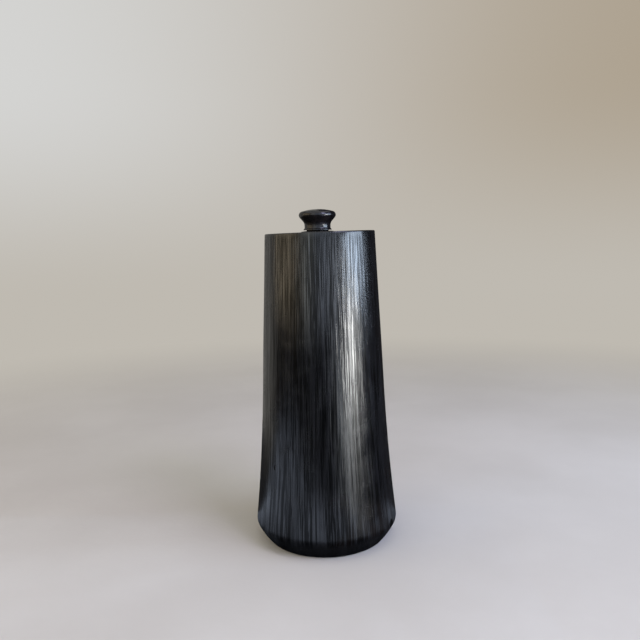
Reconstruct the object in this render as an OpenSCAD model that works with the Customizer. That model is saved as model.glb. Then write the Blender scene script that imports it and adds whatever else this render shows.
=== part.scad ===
// Tall burnished black-clay bottle: a tapered, slightly flared body on a small chamfered foot,
// closed by a top slab with a low mouth collar, and a turned clay stopper on a cork plug.
// Millimetres, +Z up. The origin is the centre of the foot, on the surface the bottle stands on.

/* [Body] */
// Height of the body, from the foot to the top surface
body_h = 280; // [240:1:320]
// Diameter across the rim at the top of the body
rim_d = 98; // [90:1:108]
// Widest diameter, at the heel just above the foot
heel_d = 130; // [126:1:136]
// Height of the heel above the table
heel_h = 17.3; // [15:0.1:20]
// Thickness of the wall
wall_t = 6.5; // [5.5:0.1:7.5]

/* [Flare] */
// How far the lower wall swings out past the straight taper
flare = 4; // [0:0.1:6]
// Height at which the wall starts to swing out
flare_start_h = 130; // [90:1:180]

/* [Foot] */
// Diameter of the foot where it meets the table
foot_d = 107; // [104:1:112]
// Width of the ring that the bottle stands on
foot_ring_w = 6.4; // [5:0.1:9]
// How far the underside of the heel bulges out past a straight chamfer
foot_bulge = 0.8; // [0:0.1:1.5]
// Thickness of the base slab
base_t = 8; // [7:0.1:9]
// Hollow under the base slab, so that the bottle stands on its ring
base_recess = 1.5; // [0.5:0.1:3]
// Height of the rounded inside corner between the base and the wall
corner_h = 11; // [10:0.1:14]

/* [Top] */
// Thickness of the top slab
top_t = 7; // [5:0.1:9]
// Bore of the mouth
mouth_d = 19.8; // [18:0.1:20]
// How far the mouth and its stopper stand off the body's axis, along X
mouth_x = -1.8; // [-4:0.1:4]
// Thickness of the collar's sleeve
collar_t = 3.7; // [3:0.1:4.5]
// Depth of the collar's sleeve below the top surface
collar_h = 17; // [12:0.5:22]
// Height of the collar's lip above the top surface
lip_h = 0.5; // [0.4:0.1:2]

/* [Stopper] */
// Diameter of the stopper's cap
cap_d = 33; // [32:0.1:34]
// Diameter of the stopper's neck
neck_d = 23.2; // [23:0.1:25]
// Height of the stopper's clay head
head_h = 18.3; // [18:0.1:24]
// Gap between the stopper's head and the collar's lip
head_gap = 0.9; // [0.4:0.1:2]
// Length of cork below the stopper's head
cork_h = 25; // [20:0.5:30]
// Depth of cork glued into the head
cork_socket_h = 5; // [3:0.5:7]

/* [Hidden] */
$fn = 180;

CLAY = "#26272a";
RAW_CLAY = "#3a3836";
POLISHED_CLAY = "#141416";
CORK = "#b58a5c";

wall_steps = 16;          // straight cones that make up the flared wall
round_steps = 6;          // straight cones that make up each rounded stretch
heel_round = 3;           // rounding of the heel's edge
foot_round = 1;           // rounding where the foot meets the table
rim_round = 1.2;          // rounding of the rim's edge

rim_r = rim_d / 2;
heel_r = heel_d / 2;
foot_r = foot_d / 2;
seat_r = foot_r - foot_ring_w;          // radius of the base slab, inside the foot ring
base_top_h = base_recess + base_t;
wall_top_h = body_h - top_t;
taper = (heel_r - flare - rim_r) / (body_h - heel_h);

mouth_r = mouth_d / 2;
sleeve_r = mouth_r + collar_t;
lip_flat_r = mouth_r + 2.2;             // outer edge of the lip's flat top
lip_foot_r = mouth_r + 5.2;             // where the lip runs out into the top surface
mouth_chamfer = 0.3;                    // chamfer at the mouth's edge

head_z = body_h + lip_h + head_gap;     // underside of the stopper's head
cap_edge_r = 3.4;                       // rounding of the cap's edge
cap_dome_r = 52;                        // radius of the cap's flat dome
cap_under_angle = 41;                   // slope of the cap's underside, from the vertical
neck_cove_r = 6.2;                      // cove between the neck and the cap
neck_flare_r = 1.8;                     // cove at the foot of the neck
neck_flare_angle = 60;                  // how far that cove turns outward
neck_foot_h = 0.7;                      // straight edge at the foot of the neck

cork_clearance = 0.08;                  // radial clearance of the cork in the mouth
cork_r = mouth_r - cork_clearance;
cork_taper_h = 5;                       // length of the cork's tapered end
cork_taper_r = 1.2;                     // how much narrower the cork's end is, in radius

// Outer radius of the wall at height z: a straight taper that swings out below flare_start_h.
function wall_r(z) =
    rim_r + taper * (body_h - z)
    + flare * pow(max(0, flare_start_h - z) / (flare_start_h - heel_h), 2);

// Inner radius of the wall at height z.
function inner_r(z) = wall_r(z) - wall_t;

// Height of step i of the wall between heights z0 and z1.
function wall_step_z(z0, z1, i) = z0 + (z1 - z0) * i / wall_steps;

// Point at t, from 0 to 1, on a curve that leaves p towards c and comes to q from c.
function bend(p, c, q, t) = p * pow(1 - t, 2) + c * 2 * t * (1 - t) + q * pow(t, 2);

// Points along that curve, from t0 to t1, without its first point.
function bend_points(p, c, q, t0 = 0, t1 = 1) =
    [for (i = [1 : round_steps]) bend(p, c, q, t0 + (t1 - t0) * i / round_steps)];

// Points along an arc about [cx, cz] from angle a0 to a1, counted from the horizontal.
function arc_points(cx, cz, r, a0, a1) =
    [for (i = [0 : round_steps]) let (a = a0 + (a1 - a0) * i / round_steps)
        [cx + r * cos(a), cz + r * sin(a)]];

module turned(outline) {
    rotate_extrude() polygon(outline);
}

module body_wall() {
    foot = [foot_r, 0];
    heel = [heel_r, heel_h];
    slope = heel - foot;
    bulge = (foot + heel) / 2 + [slope[1], -slope[0]] / norm(slope) * 2 * foot_bulge;
    foot_t = foot_round / norm(slope);
    heel_t = 1 - heel_round / norm(slope);
    above_heel_h = heel_h + heel_round;
    corner_top_h = base_top_h + corner_h;
    color(CLAY) turned(concat(
        [[seat_r, 0], [foot_r - foot_round, 0]],
        bend_points([foot_r - foot_round, 0], foot, bend(foot, bulge, heel, foot_t)),
        bend_points(foot, bulge, heel, foot_t, heel_t),
        bend_points(bend(foot, bulge, heel, heel_t), heel, [wall_r(above_heel_h), above_heel_h]),
        [for (i = [1 : wall_steps])
            let (z = wall_step_z(above_heel_h, wall_top_h, i)) [wall_r(z), z]],
        [for (i = [0 : wall_steps])
            let (z = wall_step_z(wall_top_h, corner_top_h, i)) [inner_r(z), z]],
        bend_points([inner_r(corner_top_h), corner_top_h], [inner_r(base_top_h), base_top_h],
            [seat_r, base_top_h])
    ));
}

module base_slab() {
    color(RAW_CLAY) translate([0, 0, base_recess]) cylinder(h = base_t, r = seat_r);
}

module top_slab() {
    edge_h = body_h - rim_round;
    edge = [wall_r(edge_h), edge_h];
    color(CLAY) difference() {
        turned(concat(
            [[0, wall_top_h], [wall_r(wall_top_h), wall_top_h], edge],
            bend_points(edge, [rim_r, body_h], [rim_r - rim_round, body_h]),
            [[0, body_h]]
        ));
        translate([mouth_x, 0, wall_top_h - 1]) cylinder(h = top_t + 2, r = sleeve_r);
    }
}

module mouth_collar() {
    lip_top_h = body_h + lip_h;
    color(CLAY) translate([mouth_x, 0, 0]) turned([
        [mouth_r, body_h - collar_h],
        [sleeve_r, body_h - collar_h],
        [sleeve_r, body_h],
        [lip_foot_r, body_h],
        [lip_flat_r, lip_top_h],
        [mouth_r + mouth_chamfer, lip_top_h],
        [mouth_r, lip_top_h - mouth_chamfer]
    ]);
}

module stopper_knob() {
    neck_r = neck_d / 2;
    edge_x = cap_d / 2 - cap_edge_r;
    dome_z = head_z + head_h - cap_dome_r;
    dome_angle = asin(edge_x / (cap_dome_r - cap_edge_r));
    edge_z = dome_z + (cap_dome_r - cap_edge_r) * cos(dome_angle);
    // a straight undercut joins the cap's edge to the cove, touching both
    touch_x = edge_x + cap_edge_r * cos(cap_under_angle);
    touch_z = edge_z - cap_edge_r * sin(cap_under_angle);
    cove_x = neck_r + neck_cove_r;
    cove_end_x = cove_x - neck_cove_r * cos(cap_under_angle);
    cove_end_z = touch_z - (touch_x - cove_end_x) / tan(cap_under_angle);
    cove_z = cove_end_z - neck_cove_r * sin(cap_under_angle);
    flare_z = head_z + neck_foot_h + neck_flare_r * sin(neck_flare_angle);
    color(POLISHED_CLAY) translate([mouth_x, 0, 0]) difference() {
        turned(concat(
            [[0, head_z], [neck_r + neck_flare_r * (1 - cos(neck_flare_angle)), head_z]],
            arc_points(neck_r + neck_flare_r, flare_z, neck_flare_r, 180 + neck_flare_angle, 180),
            arc_points(cove_x, cove_z, neck_cove_r, 180, 180 - cap_under_angle),
            arc_points(edge_x, edge_z, cap_edge_r, -cap_under_angle, 90 - dome_angle),
            [for (i = [1 : round_steps]) let (a = 90 - dome_angle * (1 - i / round_steps))
                [cap_dome_r * cos(a), dome_z + cap_dome_r * sin(a)]]
        ));
        translate([0, 0, head_z - 1]) cylinder(h = cork_socket_h + 1, r = cork_r);
    }
}

module cork_plug() {
    cork_z = head_z - cork_h;
    cork_top_z = head_z + cork_socket_h;
    color(CORK) translate([mouth_x, 0, 0]) turned([
        [0, cork_z],
        [cork_r - cork_taper_r, cork_z],
        [cork_r, cork_z + cork_taper_h],
        [cork_r, cork_top_z],
        [0, cork_top_z]
    ]);
}

body_wall();
base_slab();
top_slab();
mouth_collar();
stopper_knob();
cork_plug();
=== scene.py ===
"""The looks of a burnished black-clay bottle with a stopper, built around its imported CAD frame.

Metres, +Z up. The bottle stands at the origin and the camera looks along +Y.
MM turns millimetres into metres.
"""

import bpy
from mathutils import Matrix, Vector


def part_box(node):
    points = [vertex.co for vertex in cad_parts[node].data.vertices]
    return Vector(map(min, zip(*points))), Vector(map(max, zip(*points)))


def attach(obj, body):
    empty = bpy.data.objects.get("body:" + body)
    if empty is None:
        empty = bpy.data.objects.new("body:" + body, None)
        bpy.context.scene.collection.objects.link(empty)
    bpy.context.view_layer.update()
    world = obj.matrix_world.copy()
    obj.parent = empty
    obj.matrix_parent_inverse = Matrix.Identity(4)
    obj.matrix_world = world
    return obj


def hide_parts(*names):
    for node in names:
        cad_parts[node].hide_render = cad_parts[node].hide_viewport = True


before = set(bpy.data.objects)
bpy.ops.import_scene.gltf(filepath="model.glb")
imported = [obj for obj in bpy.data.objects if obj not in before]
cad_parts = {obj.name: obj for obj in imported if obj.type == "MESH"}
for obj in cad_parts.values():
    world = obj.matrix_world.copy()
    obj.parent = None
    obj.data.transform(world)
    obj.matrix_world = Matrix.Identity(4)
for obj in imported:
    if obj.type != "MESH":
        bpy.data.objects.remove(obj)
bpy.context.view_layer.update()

import math
import random

import bpy
import numpy as np
from mathutils import Euler, Vector, noise

MM = 0.001
MERGE = 0.05 * MM        # rows of an outline that are closer than this are one row

# ---------------------------------------------------------------- sizes read from the frame

WALL_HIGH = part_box("body_wall")[1]
SLAB_LOW, SLAB_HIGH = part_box("top_slab")
BASE_LOW, BASE_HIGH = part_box("base_slab")
COLLAR_LOW, COLLAR_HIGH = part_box("mouth_collar")
KNOB_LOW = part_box("stopper_knob")[0]
CORK_LOW, CORK_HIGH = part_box("cork_plug")

TOP_Z = SLAB_HIGH.z                                   # the body's flat top
JOINT_Z = SLAB_LOW.z                                  # where the wall meets the top slab
MOUTH_X = (COLLAR_LOW.x + COLLAR_HIGH.x) / 2          # the mouth stands off the body's axis
SEAT_R = (BASE_HIGH.x - BASE_LOW.x) / 2               # the base slab inside the foot ring
HEEL_R = WALL_HIGH.x                                  # the body's widest radius
CORK_R = CORK_HIGH.x - MOUTH_X


def outline(node, centre_x=0.0, inward=False):
    """The outer (or inner) outline of a turned CAD piece: rows of radius and height, lowest first."""
    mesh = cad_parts[node].data
    side = -1 if inward else 1
    rows = set()
    for face in mesh.polygons:
        away = Vector((face.center.x - centre_x, face.center.y, 0)).normalized()
        if face.normal.dot(away) * side > 0.02:
            for index in face.vertices:
                co = mesh.vertices[index].co
                radius = math.hypot(co.x - centre_x, co.y)
                rows.add((round(radius, 5), round(co.z, 5)))
    kept = []
    for row in sorted(rows, key=lambda row: (row[1], row[0])):
        if not kept or math.dist(row, kept[-1]) > MERGE:
            kept.append(row)
    return np.array(kept)


def smooth_rows(rows, spacing):
    """Points along a smooth curve through rows, about spacing apart, and at least one for each row."""
    steps = np.linalg.norm(np.diff(rows, axis=0), axis=1)
    along = np.concatenate([[0], np.cumsum(steps)])
    slope = np.gradient(rows, along, axis=0)
    out = [rows[0]]
    for i, step in enumerate(steps):
        count = max(1, round(step / spacing))
        for t in np.arange(1, count + 1) / count:
            start = (2 * t**3 - 3 * t**2 + 1) * rows[i]
            leaving = (t**3 - 2 * t**2 + t) * step * slope[i]
            end = (3 * t**2 - 2 * t**3) * rows[i + 1]
            arriving = (t**3 - t**2) * step * slope[i + 1]
            out.append(start + leaving + end + arriving)
    return np.array(out)


def refine(rows, spans, spacing):
    """rows with more of them, at most spacing apart, inside each span (low, high) of heights."""
    out = [rows[0]]
    for before, after in zip(rows[:-1], rows[1:]):
        inside = any(after[1] > low and before[1] < high for low, high in spans)
        count = math.ceil(math.dist(before, after) / spacing) if inside else 1
        out += [before + (after - before) * t / count for t in range(1, count + 1)]
    return np.array(out)


def smoothstep(low, high, value):
    """0 where value is at low, 1 where it is at high, and smooth between them."""
    t = np.clip((value - low) / (high - low), 0, 1)
    return t * t * (3 - 2 * t)


# ---------------------------------------------------------------- mesh tools

BODY_COLUMNS = 840           # columns of mesh round the wall and the top
SMALL_COLUMNS = 240          # and round each smaller piece
BODY_ANGLES = np.arange(BODY_COLUMNS) * 2 * math.pi / BODY_COLUMNS
SMALL_ANGLES = np.arange(SMALL_COLUMNS) * 2 * math.pi / SMALL_COLUMNS


def ring_mesh(name, points, attributes, close_profile=False, caps=False):
    """A mesh from a grid of points, rows by columns by 3, whose columns run round an axis.

    attributes holds one value per grid point under each name. close_profile joins the last row to the
    first. caps fills the first and the last row with a fan each."""
    rows, columns = points.shape[:2]
    vertices = points.reshape(-1, 3)
    values = {key: np.asarray(value).reshape(-1) for key, value in attributes.items()}
    index = np.arange(rows * columns).reshape(rows, columns)
    if close_profile:
        index = np.vstack([index, index[:1]])
    right = np.roll(index, -1, axis=1)
    quads = np.stack([index[:-1], right[:-1], right[1:], index[1:]], axis=-1).reshape(-1, 4)
    faces = quads.tolist()
    ends = [(0, -1), (rows - 1, 1)] if caps else []
    for row, order in ends:
        centre = len(vertices)
        vertices = np.vstack([vertices, points[row].mean(axis=0)])
        values = {key: np.append(value, value[index[row]].mean()) for key, value in values.items()}
        ring = index[row][::order]
        faces += [[int(a), int(b), centre] for a, b in zip(ring, np.roll(ring, -1))]
    mesh = bpy.data.meshes.new(name)
    mesh.from_pydata(vertices.tolist(), [], faces)
    mesh.validate()
    for key, value in values.items():
        mesh.attributes.new(key, "FLOAT", "POINT").data.foreach_set("value", value.astype(np.float32))
    mesh.shade_smooth()
    piece = bpy.data.objects.new(name, mesh)
    bpy.context.scene.collection.objects.link(piece)
    return piece


def sharpen(piece, angle):
    """Marks the edges that turn by more than angle degrees as sharp."""
    piece.data.set_sharp_from_angle(angle=math.radians(angle))


def turned_points(profile, angles, push=None, centre_x=0.0):
    """Grid points of a turned profile. push moves each along the profile's normal, in metres."""
    if push is None:
        push = np.zeros((len(profile), len(angles)))
    along = np.gradient(profile, axis=0)
    along /= np.linalg.norm(along, axis=1, keepdims=True) + 1e-12
    normal = np.stack([along[:, 1], -along[:, 0]], axis=1)
    radius = profile[:, :1] + normal[:, :1] * push
    height = profile[:, 1:] + normal[:, 1:] * push
    return np.stack([centre_x + radius * np.cos(angles), radius * np.sin(angles), height], axis=-1)


def lumps(height, angles, across, along, seed):
    """Smooth noise on a round wall, about -1 to 1. Its lumps are across wide and along tall, in metres."""
    out = np.empty((len(height), len(angles)))
    offset = Vector((seed * 7.3, seed * 3.1, seed * 5.7))
    ring = [Vector((math.cos(a), math.sin(a), 0)) * (HEEL_R / across) for a in angles]
    for i, z in enumerate(height):
        lift = Vector((0, 0, z / along)) + offset
        out[i] = [noise.noise(point + lift) for point in ring]
    return out


# ---------------------------------------------------------------- burnishing strokes

SEED = 20
STROKE_COUNT = 1500


class Stroke:
    """One pull of the burnishing stone: a shallow vertical flute with a soft start and end."""

    def __init__(self, rng, low, high):
        self.angle = rng.uniform(0, 2 * math.pi)
        self.half_width = rng.choice([0.55, 0.75, 1.0, 1.5]) * rng.uniform(0.85, 1.2) * MM
        length = rng.uniform(0.12, 0.8) * (high - low)
        start = rng.uniform(low - 0.5 * length, high - 0.5 * length)
        self.low = max(low, start)
        self.high = min(high, start + length)
        self.fade = rng.uniform(4, 22) * MM
        self.depth = rng.uniform(0.02, 0.06) * MM
        self.gloss = rng.uniform(0.45, 1.0)
        self.lean = rng.uniform(-0.02, 0.02)
        self.wave = rng.uniform(0.1, 0.6) * MM
        self.wave_length = rng.uniform(30, 120) * MM
        self.phase = rng.uniform(0, 2 * math.pi)


def burnish(strokes, radius, height, angles):
    """Depth in metres and polish from 0 to 1 that the strokes leave on a grid of heights by angles."""
    depth = np.zeros((len(height), len(angles)))
    polish = np.zeros_like(depth)
    pitch = 2 * math.pi / len(angles)
    for stroke in strokes:
        rows = np.nonzero((height > stroke.low - stroke.fade) & (height < stroke.high + stroke.fade))[0]
        if not len(rows):
            continue
        z = height[rows]
        r = radius[rows]
        sway = stroke.wave * np.sin(2 * math.pi * z / stroke.wave_length + stroke.phase)
        centre = stroke.angle + (stroke.lean * (z - stroke.low) + sway) / r
        start = smoothstep(stroke.low - stroke.fade, stroke.low + stroke.fade, z)
        end = smoothstep(stroke.high + stroke.fade, stroke.high - stroke.fade, z)
        reach = int(math.ceil(stroke.half_width / r.min() / pitch)) + 1
        columns = np.round(centre / pitch).astype(int)[:, None] + np.arange(-reach, reach + 1)
        across = (columns * pitch - centre[:, None]) * r[:, None] / stroke.half_width
        cut = np.clip(1 - across**2, 0, 1) ** 2 * (start * end)[:, None]
        grid = (rows[:, None], columns % len(angles))
        depth[grid] = np.maximum(depth[grid], cut * stroke.depth)
        polish[grid] = np.maximum(polish[grid], np.minimum(1, 1.5 * cut) * stroke.gloss)
    return depth, polish


# ---------------------------------------------------------------- nodes

class Nodes:
    """Short calls that build a material's node tree. A value is a number, a colour or a node's output."""

    def __init__(self, name):
        self.material = bpy.data.materials.new(name)
        self.material.use_nodes = True
        self.tree = self.material.node_tree
        self.shader = self.tree.nodes["Principled BSDF"]
        self.coordinates = self.node("ShaderNodeTexCoord").outputs["Object"]

    def node(self, kind, **settings):
        made = self.tree.nodes.new(kind)
        for key, value in settings.items():
            setattr(made, key, value)
        return made

    def put(self, socket, value):
        if isinstance(value, bpy.types.NodeSocket):
            self.tree.links.new(value, socket)
        else:
            socket.default_value = value

    def math(self, operation, *values):
        made = self.node("ShaderNodeMath", operation=operation)
        for socket, value in zip(made.inputs, values):
            self.put(socket, value)
        return made.outputs[0]

    def weighted(self, *terms):
        """The sum of some values, each given with its weight."""
        total = 0
        for value, weight in terms:
            total = self.math("MULTIPLY_ADD", value, weight, total)
        return total

    def vector(self, operation, *values, output=0):
        made = self.node("ShaderNodeVectorMath", operation=operation)
        for socket, value in zip(made.inputs, values):
            self.put(socket, value)
        return made.outputs[output]

    def stretch(self, vector, x, y, z):
        return self.vector("MULTIPLY", vector, (x, y, z))

    def length(self, vector):
        return self.vector("LENGTH", vector, output=1)

    def part(self, vector, index):
        made = self.node("ShaderNodeSeparateXYZ")
        self.put(made.inputs[0], vector)
        return made.outputs[index]

    def attribute(self, name):
        return self.node("ShaderNodeAttribute", attribute_name=name).outputs["Fac"]

    def noise(self, vector, scale=1.0, detail=2.0, distortion=0.0):
        made = self.node("ShaderNodeTexNoise")
        self.put(made.inputs["Vector"], vector)
        self.put(made.inputs["Scale"], scale)
        self.put(made.inputs["Detail"], detail)
        self.put(made.inputs["Distortion"], distortion)
        return made.outputs["Fac"]

    def scatter(self, vector, scale, reach):
        """A vector that wanders smoothly from place to place, by up to about reach each way."""
        made = self.node("ShaderNodeTexNoise")
        self.put(made.inputs["Vector"], vector)
        self.put(made.inputs["Scale"], scale)
        centred = self.vector("SUBTRACT", made.outputs["Color"], (0.5, 0.5, 0.5))
        return self.stretch(centred, 2 * reach, 2 * reach, 2 * reach)

    def spread(self, value, low, high, to_low=0.0, to_high=1.0):
        """value between low and high, moved smoothly to between to_low and to_high."""
        made = self.node("ShaderNodeMapRange", interpolation_type="SMOOTHSTEP")
        for socket, given in zip(made.inputs, (value, low, high, to_low, to_high)):
            self.put(socket, given)
        return made.outputs[0]

    def mix(self, factor, a, b):
        """The colour between a and b."""
        made = self.node("ShaderNodeMix", data_type="RGBA")
        self.put(made.inputs["Factor"], factor)
        self.put(made.inputs[6], a)
        self.put(made.inputs[7], b)
        return made.outputs[2]

    def blend(self, factor, a, b):
        """The number between a and b."""
        made = self.node("ShaderNodeMix", data_type="FLOAT")
        self.put(made.inputs["Factor"], factor)
        self.put(made.inputs[2], a)
        self.put(made.inputs[3], b)
        return made.outputs[0]

    def bump(self, height, distance, normal=None):
        made = self.node("ShaderNodeBump")
        self.put(made.inputs["Height"], height)
        self.put(made.inputs["Distance"], distance)
        if normal is not None:
            self.put(made.inputs["Normal"], normal)
        return made.outputs[0]

    def surface(self, color, roughness, normal, specular=0.5):
        """The material, with these on its own shader."""
        self.put(self.shader.inputs["Base Color"], color)
        self.put(self.shader.inputs["Roughness"], roughness)
        self.put(self.shader.inputs["Specular IOR Level"], specular)
        self.put(self.shader.inputs["Normal"], normal)
        return self.material

    def shine(self, color, strength=1.0):
        made = self.node("ShaderNodeEmission")
        self.put(made.inputs["Color"], color)
        self.put(made.inputs["Strength"], strength)
        return made.outputs[0]

    def show(self, shader):
        """The material, with another shader in the place of its own."""
        self.put(self.tree.nodes["Material Output"].inputs["Surface"], shader)
        return self.material


# ---------------------------------------------------------------- materials

GAP_CLAY_AND_SHADE = (0.0004, 0.0004, 0.0005, 1)       # between the strokes: the clay's own soot black, made darker as painted shade in the grooves
STROKE_SHEEN_GREY = (0.0056, 0.0058, 0.0070, 1)    # a painted sheen: the strokes, closed and polished by the stone, painted grey
WARM_CLAY = (0.0042, 0.0014, 0.0008, 1)      # a trace of brown, where the kiln let some air in
CHIP_CLAY_AND_SHADE = (0.0030, 0.0030, 0.0030, 1)    # inside the chips: broken clay, darkened as painted shade in their hollows
RAW_CLAY = (0.050, 0.047, 0.043, 1)          # the unburnished underside
SMEARED_CLAY = (0.034, 0.031, 0.028, 1)      # where a wet hand has smeared it
SCUFFED_CLAY = (0.105, 0.100, 0.094, 1)      # where shelves have scuffed it
KNOB_CLAY = (0.0040, 0.0034, 0.0042, 1)      # the stopper's head
KNOB_CLOUD = (0.0095, 0.0072, 0.0075, 1)     # its paler clouds
KNOB_GLOSS = 0.45                            # its specular level
CORK_LIGHT = (0.56, 0.35, 0.18, 1)
CORK_MIDDLE = (0.40, 0.22, 0.10, 1)
CORK_DARK = (0.20, 0.095, 0.035, 1)
CORK_PORE = (0.09, 0.04, 0.018, 1)
CORK_GAP_SHADE = (0.010, 0.007, 0.005, 1)      # painted shade in the gap under the stopper's head


def burnished_clay():
    """Upright polished strokes with a painted grey sheen, on clay black with soot and painted darker as
    shade between them, and raw clay in the chips, painted dark as shade.
    """
    nodes = Nodes("burnished_clay")
    around = nodes.vector("NORMALIZE", nodes.stretch(nodes.coordinates, 1, 1, 0))
    around = nodes.vector("ADD", around, nodes.scatter(nodes.coordinates, 30, 0.008))
    upward = nodes.stretch(nodes.coordinates, 0, 0, 1)

    def streaks(per_radian, per_metre):
        """Noise drawn out up the wall, with so many steps round it and up it."""
        point = nodes.stretch(around, per_radian, per_radian, 0)
        lift = nodes.stretch(upward, 0, 0, per_metre)
        return nodes.math("SUBTRACT", nodes.noise(nodes.vector("ADD", point, lift), detail=1), 0.5)

    broad = streaks(6, 5)
    medium = streaks(24, 12)
    fine = streaks(100, 18)
    side = nodes.attribute("side")
    polish = nodes.attribute("polish")
    raw = nodes.attribute("raw")
    worked = nodes.weighted((polish, 0.30), (fine, 2.2), (medium, 0.9), (broad, 0.7))
    rubbed = nodes.math("MULTIPLY_ADD", polish, 0.3, 0.5)
    gloss = nodes.blend(side, rubbed, nodes.spread(worked, 0.14, 0.34))
    warm = nodes.spread(nodes.noise(nodes.coordinates, 14, 3), 0.52, 0.72, 0, 0.7)
    gap = nodes.mix(warm, GAP_CLAY_AND_SHADE, WARM_CLAY)
    # Painted sheen: the strokes are painted grey. Painted shade: the grooves between them and the chips are
    # painted near black.
    color = nodes.mix(raw, nodes.mix(gloss, gap, STROKE_SHEEN_GREY), CHIP_CLAY_AND_SHADE)
    smudge = nodes.spread(nodes.noise(nodes.coordinates, 60, 3), 0.35, 0.7, -0.03, 0.05)
    roughness = nodes.math("ADD", nodes.blend(gloss, 0.235, 0.172), smudge)
    roughness = nodes.blend(raw, roughness, 0.9)
    grain = nodes.bump(nodes.noise(nodes.coordinates, 1500, 2), 0.01 * MM)
    lines = nodes.weighted((fine, 1), (medium, 0.4))
    normal = nodes.bump(lines, nodes.math("MULTIPLY", side, 0.12 * MM), grain)
    # The grooves shine less than the strokes and the chips hardly at all, which deepens their painted
    # shade.
    specular = nodes.blend(raw, nodes.blend(gloss, 0.28, 0.88), 0.03)
    return nodes.surface(color, roughness, normal, specular)


def polished_clay():
    """The stopper's head, rubbed to a deep gloss all over, with faint turning lines."""
    nodes = Nodes("polished_clay")
    cloud = nodes.noise(nodes.coordinates, 120, 3)
    lines = nodes.noise(nodes.stretch(nodes.coordinates, 60, 60, 2400), 1, 2)
    color = nodes.mix(nodes.spread(cloud, 0.45, 0.7), KNOB_CLAY, KNOB_CLOUD)
    roughness = nodes.spread(cloud, 0.3, 0.75, 0.17, 0.27)
    normal = nodes.bump(lines, 0.008 * MM, nodes.bump(cloud, 0.01 * MM))
    return nodes.surface(color, roughness, normal, KNOB_GLOSS)


def raw_clay():
    """The unburnished underside: matte, smeared by a wet hand and scuffed by shelves."""
    nodes = Nodes("raw_clay")
    smear = nodes.noise(nodes.coordinates, 70, 4, distortion=1.2)
    grit = nodes.noise(nodes.coordinates, 900, 3)
    scuffs = nodes.noise(nodes.stretch(nodes.coordinates, 500, 60, 60), 1, 3)
    color = nodes.mix(nodes.spread(smear, 0.35, 0.7), RAW_CLAY, SMEARED_CLAY)
    color = nodes.mix(nodes.spread(scuffs, 0.62, 0.75, 0, 0.7), color, SCUFFED_CLAY)
    roughness = nodes.spread(grit, 0.3, 0.7, 0.75, 0.95)
    normal = nodes.bump(grit, 0.08 * MM, nodes.bump(smear, 0.4 * MM))
    return nodes.surface(color, roughness, normal)


def natural_cork():
    """Natural cork: warm tan with darker lenticels that run across the plug."""
    nodes = Nodes("natural_cork")
    cells = nodes.noise(nodes.coordinates, 900, 3)
    cloud = nodes.noise(nodes.coordinates, 160, 3)
    lines = nodes.noise(nodes.stretch(nodes.coordinates, 260, 260, 1500), 1, 3)
    color = nodes.mix(nodes.spread(cloud, 0.3, 0.75), CORK_LIGHT, CORK_MIDDLE)
    color = nodes.mix(nodes.spread(lines, 0.6, 0.75, 0, 0.6), color, CORK_DARK)
    color = nodes.mix(nodes.attribute("pore"), color, CORK_PORE)
    # The cork is painted near black just under the stopper's head: painted shade in the gap there.
    gap_shade = nodes.spread(nodes.part(nodes.coordinates, 2), KNOB_LOW.z - 5 * MM, KNOB_LOW.z - 2 * MM)
    color = nodes.mix(gap_shade, color, CORK_GAP_SHADE)
    roughness = nodes.spread(cells, 0.3, 0.7, 0.72, 0.9)
    normal = nodes.bump(cells, 0.06 * MM, nodes.bump(lines, 0.1 * MM))
    return nodes.surface(color, roughness, normal)


BURNISHED = burnished_clay()
POLISHED = polished_clay()
RAW = raw_clay()
CORK = natural_cork()


def finish_piece(piece, material, node, body):
    """Gives a finished piece its material, hides the CAD node that it stands for and hangs it on its body.
    """
    piece.data.materials.append(material)
    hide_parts(node)
    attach(piece, body)


# ---------------------------------------------------------------- the worked surface of the body

WALL_ROW = 6.0 * MM          # distance between rows of the mesh up the wall
CHIP_ROW = 1.2 * MM          # the same where the wall is chipped
CORNER_TOP = 30 * MM         # above this the inner wall is all but straight
INNER_STEP = 5               # and keeps one row in this many

wall_outline = outline("body_wall")
HEEL_Z = wall_outline[wall_outline[:, 0].argmax(), 1]      # height of the body's widest row
STROKE_LOW = HEEL_Z - 20 * MM        # below the foot, so that the strokes run right down to the heel
STROKE_HIGH = TOP_Z - 5 * MM
stroke_rng = random.Random(SEED)
strokes = [Stroke(stroke_rng, STROKE_LOW, STROKE_HIGH) for _ in range(STROKE_COUNT)]

# Chips and nicks: degrees round from the front towards +X, then height, half width, half height and
# depth in mm
CHIPS = [
    (64, 18.0, 4.4, 4.4, 1.3),
    (-49, 77, 0.7, 2.0, 0.25),
    (148, 30, 1.3, 1.6, 0.35),
    (-118, 151, 0.8, 1.4, 0.25),
]


def chips(radius, height, angles):
    """How deep the chips are, in metres, and how raw the clay is in them, from 0 to 1; the same mask paints
    shade into the chips.
    """
    depth = np.zeros((len(height), len(angles)))
    raw = np.zeros_like(depth)
    for degrees, z, half_width, half_height, deepest in CHIPS:
        middle = math.radians(degrees - 90)
        turn = (angles - middle + math.pi) % (2 * math.pi) - math.pi
        across = turn[None, :] * radius[:, None] / (half_width * MM)
        up = np.broadcast_to((height[:, None] - z * MM) / (half_height * MM), across.shape)
        near = np.nonzero((np.abs(across) < 2) & (np.abs(up) < 2))
        for i, j in zip(*near):
            ragged = noise.noise(Vector((across[i, j] * 1.6, up[i, j] * 1.6, degrees)))
            distance = math.hypot(across[i, j] + 0.35 * up[i, j], up[i, j]) + 0.35 * ragged
            depth[i, j] = max(depth[i, j], deepest * MM * float(smoothstep(1.05, 0.45, distance)))
            raw[i, j] = max(raw[i, j], float(smoothstep(1.1, 0.95, distance)))
    return depth, raw


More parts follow.
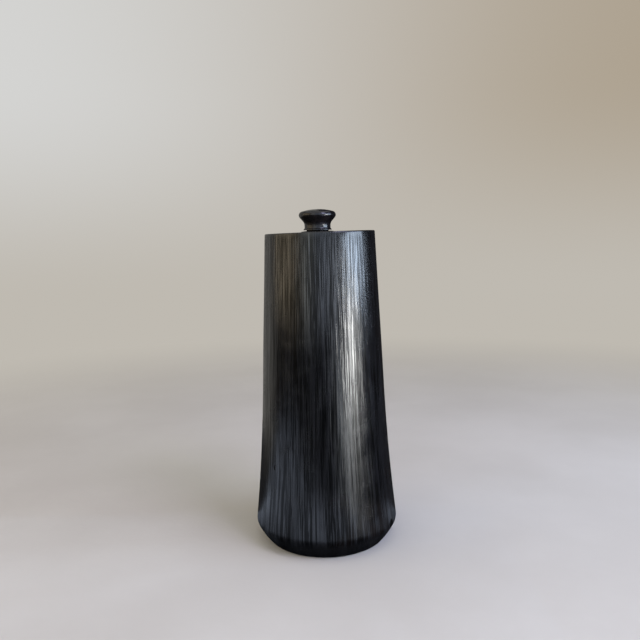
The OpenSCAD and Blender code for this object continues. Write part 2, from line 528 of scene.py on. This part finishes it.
def side_of(height):
    """1 where the upright strokes show and 0 where the clay is rubbed smooth, at the foot and the rim."""
    low = smoothstep(HEEL_Z - 9 * MM, HEEL_Z - 2 * MM, height)
    high = smoothstep(TOP_Z + 2 * MM, TOP_Z - 7 * MM, height)
    return low * high


def worked_surface(rows):
    """What the potter's hands and stone leave on the outer wall, at rows of radius and height.

    That is the push along the wall's normal, in metres, and the values that the material reads."""
    radius = rows[:, 0]
    height = rows[:, 1]
    depth, polish = burnish(strokes, radius, height, BODY_ANGLES)
    chip_depth, raw = chips(radius, height, BODY_ANGLES)
    flats = lumps(height, BODY_ANGLES, 11 * MM, 150 * MM, 1)
    hand = lumps(height, BODY_ANGLES, 45 * MM, 60 * MM, 2)
    edge_fade = smoothstep(0, 6 * MM, height)[:, None]
    push = (0.07 * flats + 0.16 * hand) * MM * edge_fade - depth - chip_depth
    side = np.repeat(side_of(height)[:, None], BODY_COLUMNS, axis=1)
    return push, {"polish": polish * (1 - raw), "raw": raw, "side": side}


def with_plain_rows(values, count):
    """The same values, with count rows of zeros after them."""
    blank = np.zeros((count, BODY_COLUMNS))
    return {name: np.vstack([grid, blank]) for name, grid in values.items()}


# ---------------------------------------------------------------- pieces

TOP_DROP = 1.3 * MM              # the handmade top slopes down by this much from +X to -X
LIP_REACH = 1.5 * MM             # how far the collar's lip reaches out over the top slab
LIP_SINK = 1.1 * MM              # the lip's foot lies this far below the flat top, inside the sloping one
MOUTH_CLEARANCE = 0.08 * MM      # between the cork and the mouth
AXIS_R = 0.5 * MM                # the small ring that is left round an axis, for a fan to close


def body_wall():
    """The wall, with its strokes and chips outside and a plain inside."""
    outer = smooth_rows(np.vstack([[SEAT_R, 0], wall_outline]), WALL_ROW)
    spans = [((z - 1.3 * half_height) * MM, (z + 1.3 * half_height) * MM)
             for _, z, _, half_height, _ in CHIPS]
    outer = refine(outer, spans, CHIP_ROW)
    inner = outline("body_wall", inward=True)
    inner = inner[inner[:, 1] > MERGE]
    curved = int((inner[:, 1] < CORNER_TOP).sum())
    inner = np.vstack([inner[:curved], inner[curved:-1:INNER_STEP], inner[-1:]])[::-1]
    push, values = worked_surface(outer)
    push[outer[:, 1] < 0.01 * MM] = 0        # the foot ring stands flat
    points = np.vstack([turned_points(outer, BODY_ANGLES, push), turned_points(inner, BODY_ANGLES)])
    piece = ring_mesh("body_wall_clay", points, with_plain_rows(values, len(inner)), close_profile=True)
    sharpen(piece, 50)
    finish_piece(piece, BURNISHED, "body_wall", "pot")


def top_slab():
    """The top slab, with a rounded rim, faint rings from the stone on top, and a hole round the mouth."""
    hole_r = (COLLAR_HIGH.x - COLLAR_LOW.x) / 2 - LIP_REACH
    side_rows = smooth_rows(outline("top_slab"), 1.2 * MM)
    rim_r = side_rows[-1, 0]
    top_radii = np.linspace(rim_r, hole_r, 34)[1:]
    top_rows = np.stack([top_radii, np.full_like(top_radii, TOP_Z)], axis=1)
    under_radii = np.linspace(hole_r, side_rows[0, 0], 5)[:-1]
    under_rows = np.stack([under_radii, np.full_like(under_radii, JOINT_Z)], axis=1)
    flat = np.vstack([top_rows, under_rows])
    push, values = worked_surface(side_rows)
    push *= smoothstep(TOP_Z + 0.4 * MM, TOP_Z - 1.4 * MM, side_rows[:, 1])[:, None]
    values = with_plain_rows(values, len(flat))
    for i, r in enumerate(flat[:, 0], start=len(side_rows)):
        ring = [Vector((r / (1.4 * MM), 1.2 * math.cos(a), 1.2 * math.sin(a))) for a in BODY_ANGLES]
        values["polish"][i] = [0.5 + noise.noise(point) for point in ring]
    points = np.vstack([turned_points(side_rows, BODY_ANGLES, push), turned_points(flat, BODY_ANGLES)])
    inset = (rim_r - flat[:, 0]) / (rim_r - hole_r)
    points[len(side_rows):, :, 0] += MOUTH_X * inset[:, None]
    lift = (points[..., 2] - JOINT_Z) / (TOP_Z - JOINT_Z)
    points[..., 2] -= TOP_DROP * (0.5 - points[..., 0] / (2 * rim_r)) * lift
    piece = ring_mesh("top_slab_clay", points, values, close_profile=True)
    sharpen(piece, 50)
    finish_piece(piece, BURNISHED, "top_slab", "pot")


def mouth_collar():
    """The sleeve that lines the mouth, and its low rounded lip."""
    bore_r = CORK_R + MOUTH_CLEARANCE
    lip_r = COLLAR_HIGH.x - MOUTH_X
    sleeve_r = lip_r - LIP_REACH
    lip_z = COLLAR_HIGH.z
    foot_z = TOP_Z - LIP_SINK
    crown_r = bore_r + 0.5 * MM
    edge_z = foot_z + 0.2 * MM
    rows = [(bore_r, COLLAR_LOW.z), (sleeve_r, COLLAR_LOW.z), (sleeve_r, foot_z), (lip_r, foot_z)]
    for t in np.linspace(0, 1, 12):
        angle = math.pi / 2 * t
        rows.append((crown_r + (lip_r - crown_r) * math.cos(angle) ** 0.8,
                     edge_z + (lip_z - edge_z) * math.sin(angle) ** 0.7))
    rows += [(bore_r + 0.15 * MM, lip_z - 0.1 * MM), (bore_r, lip_z - 0.5 * MM)]
    rows = np.array(rows)
    blank = np.zeros((len(rows), SMALL_COLUMNS))
    piece = ring_mesh("mouth_collar_clay", turned_points(rows, SMALL_ANGLES, centre_x=MOUTH_X),
                      {"polish": blank, "raw": blank, "side": blank}, close_profile=True)
    sharpen(piece, 40)
    finish_piece(piece, BURNISHED, "mouth_collar", "pot")


def base_slab():
    """The base slab, a little uneven underneath."""
    low = BASE_LOW.z
    high = BASE_HIGH.z
    under = [(r, low) for r in np.linspace(AXIS_R, SEAT_R, 48)]
    rows = np.array(under + [(SEAT_R, high), (SEAT_R * 0.5, high), (AXIS_R, high)])
    push = np.zeros((len(rows), SMALL_COLUMNS))
    for i in range(len(under) - 1):
        for j, a in enumerate(SMALL_ANGLES):
            point = Vector((math.cos(a), math.sin(a), 0)) * (rows[i, 0] / (9 * MM))
            push[i, j] = 0.25 * MM * noise.noise(point)
    piece = ring_mesh("base_slab_clay", turned_points(rows, SMALL_ANGLES, push), {}, caps=True)
    sharpen(piece, 50)
    finish_piece(piece, RAW, "base_slab", "pot")


def stopper_knob():
    """The stopper's head, a little out of true, with the socket for the cork."""
    outer = smooth_rows(outline("stopper_knob", MOUTH_X), 0.35 * MM)
    outer = outer[outer[:, 0] > AXIS_R]
    socket = np.array([(CORK_R, CORK_HIGH.z), (CORK_R, KNOB_LOW.z)])
    rows = np.vstack([socket, outer])
    wobble = lumps(rows[:, 1], SMALL_ANGLES, 60 * MM, 20 * MM, 5) * 0.06 * MM
    wobble *= smoothstep(1 * MM, 6 * MM, rows[:, 0])[:, None]
    wobble[:3] = 0                           # the socket and the edge beside it stay round
    piece = ring_mesh("stopper_knob_clay", turned_points(rows, SMALL_ANGLES, wobble, MOUTH_X), {},
                      caps=True)
    sharpen(piece, 50)
    finish_piece(piece, POLISHED, "stopper_knob", "stopper")


def cork_plug():
    """The cork, with a chamfered end and pores cut into it."""
    taper = outline("cork_plug", MOUTH_X)
    corners = np.array([taper[0] - (0.8 * MM, 0), taper[0] + (0, 0.6 * MM),
                        (CORK_R, taper[1, 1]), (CORK_R, CORK_HIGH.z)])
    rows = refine(corners, [(CORK_LOW.z, CORK_HIGH.z)], 0.35 * MM)
    pores = np.zeros((len(rows), SMALL_COLUMNS))
    for i, (r, z) in enumerate(rows):
        for j, a in enumerate(SMALL_ANGLES):
            point = Vector((math.cos(a) * r / (1.5 * MM), math.sin(a) * r / (1.5 * MM), z / (0.55 * MM)))
            pores[i, j] = smoothstep(0.34, 0.48, noise.noise(point))
    piece = ring_mesh("cork_plug_cork", turned_points(rows, SMALL_ANGLES, -0.25 * MM * pores, MOUTH_X),
                      {"pore": pores}, caps=True)
    sharpen(piece, 50)
    finish_piece(piece, CORK, "cork_plug", "stopper")


body_wall()
top_slab()
mouth_collar()
base_slab()
stopper_knob()
cork_plug()

# ---------------------------------------------------------------- camera

PICTURE_PX = 640                # width of the picture
LENS_PX = 670                   # focal length, in the same unit
SENSOR_WIDTH = 36               # in mm, as Blender counts it
CAMERA_DISTANCE = 603.0 * MM
CAMERA_HEIGHT = 273.5 * MM
CAMERA_PITCH = math.radians(6.91)
CAMERA_YAW = math.radians(0.16)
CAMERA_ROLL = math.radians(1.45)


def add_camera():
    """A camera straight in front of the bottle, tipped down a little and not quite level."""
    data = bpy.data.cameras.new("camera")
    data.sensor_width = SENSOR_WIDTH
    data.lens = SENSOR_WIDTH * LENS_PX / PICTURE_PX
    data.clip_start = 0.01
    camera = bpy.data.objects.new("camera", data)
    bpy.context.scene.collection.objects.link(camera)
    camera.location = (0, -CAMERA_DISTANCE, CAMERA_HEIGHT)
    look = Euler((math.pi / 2 - CAMERA_PITCH, 0, CAMERA_YAW), "XYZ").to_matrix()
    roll = Euler((0, 0, -CAMERA_ROLL), "XYZ").to_matrix()
    camera.rotation_euler = (look @ roll).to_euler()
    bpy.context.scene.camera = camera


# ---------------------------------------------------------------- stage

FLOOR_COLOR = (0.62, 0.585, 0.53, 1)
FLOOR_CLOUD = (0.57, 0.535, 0.48, 1)
HAZE_COLOR = (0.52, 0.49, 0.44, 1)        # where the floor meets the backdrop
# Painted light on the backdrop: pale where it is lit on the left, shaded darker and warmer on the right.
WALL_LEFT = (0.66, 0.66, 0.65, 1)
WALL_RIGHT = (0.42, 0.36, 0.28, 1)
SHADE_COLOR = (0.030, 0.030, 0.033, 1)    # the room wherever nothing else shines
FLOOR_HALF = 3                            # half the floor's width
DOME_RADIUS = 2.9
CARD_DISTANCE = 1.25                      # from the bottle's axis to the window
ROOM_RADIUS = 1.6                         # and to the round wall that glows
ROOM_TOP = 1.6
ROOM_RIPPLE = 0.5

# The table as the glossy clay mirrors it: its corners' x and y
TABLE_EDGE = [(-0.58, 0.05), (-0.58, -0.42), (-0.34, -0.42), (-0.16, -0.31), (0.16, -0.31), (0.16, 0.05)]

# The window's light cards: degrees round from the front towards +X, low edge, high edge, width, radiance
# and colour
WINDOW_CARDS = {
    "window_floor": (47, -0.18, -0.05, 0.56, 2.3, (1.0, 1.03, 1.03)),
    "window_sill": (55, -0.05, 0.07, 0.50, 13.5, (1.0, 1.01, 0.99)),
    "window_low": (59.5, 0.07, 0.22, 0.52, 16.5, (1.0, 1.0, 0.98)),
    "window_middle": (72.5, 0.22, 0.50, 0.87, 9.8, (0.80, 0.97, 1.20)),
    "window_reveal": (31, -0.16, 0.36, 0.50, 0.9, (0.92, 1.0, 1.08)),
    "window_high": (75, 0.50, 1.10, 0.95, 2.5, (0.75, 0.85, 1.25)),
    "window_sky": (42, 0.80, 1.70, 0.60, 7.0, (0.82, 0.82, 1.25)),
}

# Parts of the round wall: start and end in degrees from the front towards +X, low edge, colour and radiance
ROOM_GLOWS = {
    "room_warm": (-100, -42, 0.17, (1.0, 0.84, 0.60, 1), 1.2),
    "room_front": (-42, -14, 0.17, (0.96, 1.0, 0.96, 1), 1.14),
    "room_cool": (-14, 44, 0.17, (0.84, 0.95, 1.14, 1), 1.22),
    "room_back": (-180, -100, -0.3, (1.0, 0.97, 0.90, 1), 0.38),
}

HIDDEN_FROM = {"camera": "visible_camera", "diffuse": "visible_diffuse", "gloss": "visible_glossy",
               "glass": "visible_transmission", "shadow": "visible_shadow"}


def hide_from(thing, *rays):
    """Hides a thing from some kinds of ray, by their names in HIDDEN_FROM."""
    for ray in rays:
        setattr(thing, HIDDEN_FROM[ray], False)


def stage_mesh(name, vertices, faces, material):
    """A mesh that belongs to the stage and not to the bottle."""
    mesh = bpy.data.meshes.new(name)
    mesh.from_pydata(vertices, [], faces)
    mesh.materials.append(material)
    thing = bpy.data.objects.new(name, mesh)
    bpy.context.scene.collection.objects.link(thing)
    return thing


def flat_sheet(name, corners, z, material):
    """A level piece of the stage at height z."""
    return stage_mesh(name, [(x, y, z) for x, y in corners], [tuple(range(len(corners)))], material)


def glow(name, color, strength, ripple, fade_in=None):
    """A material that only shines. Its strength swings by ripple round the room, as a room's own things
    would make it, and it can fade in between two distances from the bottle's axis."""
    nodes = Nodes(name)
    level = nodes.stretch(nodes.coordinates, 1, 1, 0)
    bands = nodes.noise(nodes.vector("NORMALIZE", level), 5, 1)
    strength = nodes.spread(bands, 0.36, 0.64, strength * (1 - ripple), strength * (1 + ripple))
    if fade_in:
        strength = nodes.math("MULTIPLY", strength, nodes.spread(nodes.length(level), *fade_in))
    return nodes.show(nodes.shine(color, strength))


def floor_material():
    """Pale plaster that fades into the backdrop's haze far away."""
    nodes = Nodes("pale_floor")
    cloud = nodes.noise(nodes.coordinates, 5, 4)
    color = nodes.mix(nodes.spread(cloud, 0.3, 0.7), FLOOR_COLOR, FLOOR_CLOUD)
    nodes.surface(color, 0.8, nodes.bump(nodes.noise(nodes.coordinates, 90, 4), 0.3 * MM))
    distance = nodes.length(nodes.stretch(nodes.coordinates, 1, 1, 0))
    fade = nodes.node("ShaderNodeMixShader")
    nodes.put(fade.inputs[0], nodes.spread(distance, 0.35, 1.3))
    nodes.put(fade.inputs[1], nodes.shader.outputs[0])
    nodes.put(fade.inputs[2], nodes.shine(HAZE_COLOR))
    return nodes.show(fade.outputs[0])


def add_floor():
    """A pale floor. Glossy clay mirrors only the part that a table would fill: table_mirror is seen by
    no other ray, and the floor itself, a hair lower, is seen by every ray but those."""
    corners = [(-FLOOR_HALF, -FLOOR_HALF), (FLOOR_HALF, -FLOOR_HALF),
               (FLOOR_HALF, FLOOR_HALF), (-FLOOR_HALF, FLOOR_HALF)]
    floor = flat_sheet("floor", corners, -0.2 * MM, floor_material())
    hide_from(floor, "gloss", "shadow")
    # The table's glow fades in from the foot outwards: a painted shadow round the foot, in the table that
    # the clay mirrors.
    shine = glow("table_shine", (0.84, 0.96, 1.20, 1), 0.6, 0.4, (0.045, 0.2))
    mirror = flat_sheet("table_mirror", TABLE_EDGE, 0, shine)
    hide_from(mirror, "camera", "diffuse", "glass", "shadow")


def add_backdrop():
    """A pale wall all round, seen by the camera only, with painted light on it: paler on the left, darker
    and warmer on the right, and darker towards the floor.
    """
    nodes = Nodes("pale_wall")
    across = nodes.spread(nodes.part(nodes.coordinates, 0), -1.6, 1.6)
    up = nodes.spread(nodes.part(nodes.coordinates, 2), 0.0, 1.0)
    wall = nodes.mix(up, HAZE_COLOR, nodes.mix(across, WALL_LEFT, WALL_RIGHT))
    bpy.ops.mesh.primitive_uv_sphere_add(segments=64, ring_count=32, radius=DOME_RADIUS)
    dome = bpy.context.object
    dome.name = "backdrop"
    dome.data.materials.append(nodes.show(nodes.shine(wall)))
    hide_from(dome, "diffuse", "gloss", "glass", "shadow")


def add_card(name, azimuth, low, high, width, radiance, color):
    """A soft upright light card that faces the bottle, azimuth degrees round from the front towards +X."""
    data = bpy.data.lights.new(name, "AREA")
    data.shape = "RECTANGLE"
    data.size = width
    data.size_y = high - low
    data.energy = radiance * math.pi * width * (high - low)
    data.color = color
    card = bpy.data.objects.new(name, data)
    bpy.context.scene.collection.objects.link(card)
    turn = math.radians(azimuth)
    away = Vector((math.sin(turn), -math.cos(turn), 0))
    card.location = away * CARD_DISTANCE + Vector((0, 0, (low + high) / 2))
    card.rotation_euler = (-away).to_track_quat("-Z", "Y").to_euler()
    hide_from(card, "camera")


def add_ceiling(height, width, radiance):
    """A square light that faces down from above."""
    data = bpy.data.lights.new("ceiling", "AREA")
    data.size = width
    data.energy = radiance * math.pi * width * width
    card = bpy.data.objects.new("ceiling", data)
    bpy.context.scene.collection.objects.link(card)
    card.location = (0, -0.2, height)
    hide_from(card, "camera")


def add_room_glow(name, start, end, low, color, radiance):
    """Part of the round wall, which shines softly from start to end, in degrees from the front to +X."""
    steps = 24
    vertices = []
    for i in range(steps + 1):
        turn = math.radians(start + (end - start) * i / steps)
        x = ROOM_RADIUS * math.sin(turn)
        y = -ROOM_RADIUS * math.cos(turn)
        vertices += [(x, y, low), (x, y, ROOM_TOP)]
    faces = [(2 * i, 2 * i + 2, 2 * i + 3, 2 * i + 1) for i in range(steps)]
    wall = stage_mesh(name, vertices, faces, glow(name, color, radiance, ROOM_RIPPLE))
    hide_from(wall, "camera", "shadow")


def add_world():
    """The dim light of the rest of the room, and plain colours for the picture."""
    world = bpy.data.worlds.new("room")
    world.use_nodes = True
    world.node_tree.nodes["Background"].inputs["Color"].default_value = SHADE_COLOR
    bpy.context.scene.world = world
    bpy.context.scene.view_settings.view_transform = "Standard"


add_camera()
add_floor()
add_backdrop()
for name, settings in WINDOW_CARDS.items():
    add_card(name, *settings)
add_ceiling(height=1.8, width=2.4, radiance=0.95)
for name, settings in ROOM_GLOWS.items():
    add_room_glow(name, *settings)
add_world()
